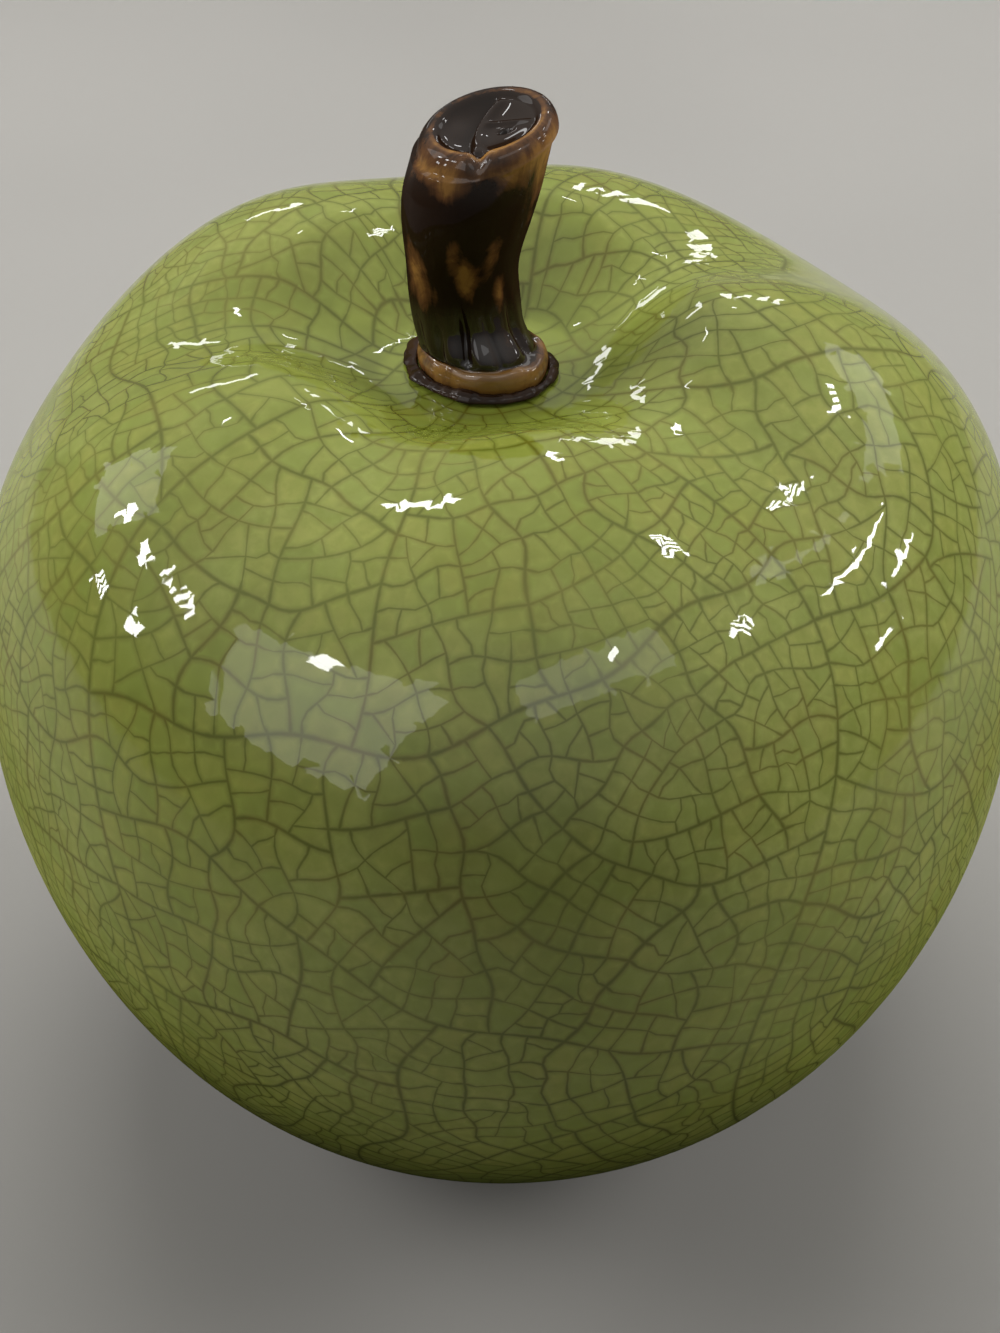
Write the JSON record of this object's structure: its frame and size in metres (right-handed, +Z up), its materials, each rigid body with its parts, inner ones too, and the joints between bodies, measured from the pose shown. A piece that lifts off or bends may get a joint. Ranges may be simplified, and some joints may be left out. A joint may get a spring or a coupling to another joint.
{
  "type": "ceramic apple",
  "caption": "Life-like ceramic apple ornament, larger than a fruit: hollow crackle-glazed body, separate brown glazed stem, felt pads.",
  "frame": {"origin": "on the surface that the apple stands on, under the middle of its outline", "axes": "+Z up, the pictured front faces -Y, +X to the right of that view"},
  "size_m": [0.2038, 0.2076, 0.2041],
  "materials": {
    "green_crackle_glaze": "clear gloss over yellow-green, crackled",
    "brown_stem_glaze": "gloss, near black, breaking to amber on edges",
    "dark_bead": "gloss, brown-black",
    "felt": "matt felt"
  },
  "bodies": {
    "root": {"apple_body": "green_crackle_glaze", "stem": "brown_stem_glaze", "stem_bead": "dark_bead", "felt_pad_1": "felt", "felt_pad_2": "felt", "felt_pad_3": "felt"}
  },
  "joints": []
}
